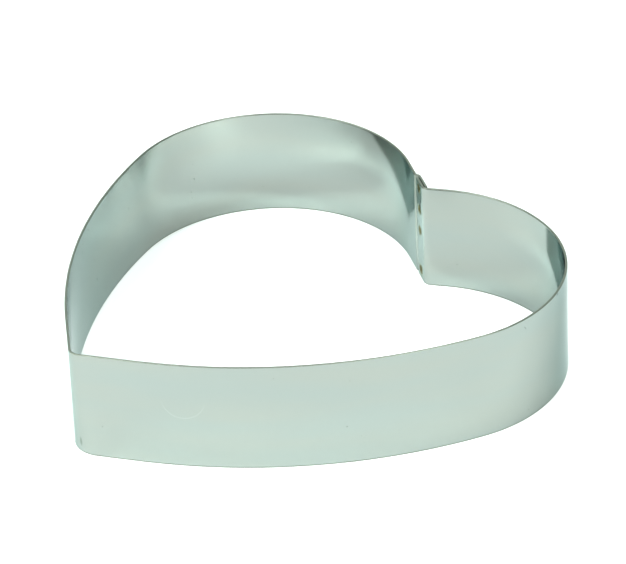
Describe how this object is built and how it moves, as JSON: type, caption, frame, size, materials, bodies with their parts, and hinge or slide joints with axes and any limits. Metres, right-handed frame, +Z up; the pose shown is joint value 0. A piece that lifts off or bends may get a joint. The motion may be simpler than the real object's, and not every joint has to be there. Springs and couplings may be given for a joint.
{
  "type": "heart mousse ring",
  "caption": "Open heart-shaped pastry ring: an upright steel band bent to a heart, lapped and spot-welded beside the notch, for moulding mousse or cake.",
  "frame": {"origin": "under the middle of the ring's bounding box, on the plane of the bottom edge", "axes": "+Z up along the band's height, +Y from the tip of the heart to its notch, +X across the heart"},
  "size_m": [0.2048, 0.1938, 0.045],
  "materials": {
    "bright_steel": "bright rolled stainless sheet, soft mirror",
    "weld_steel": "heat-tinted spot weld"
  },
  "bodies": {
    "root": {"heart_band": "bright_steel", "spot_weld_1": "weld_steel", "spot_weld_2": "weld_steel", "spot_weld_3": "weld_steel", "spot_weld_4": "weld_steel"}
  },
  "joints": []
}
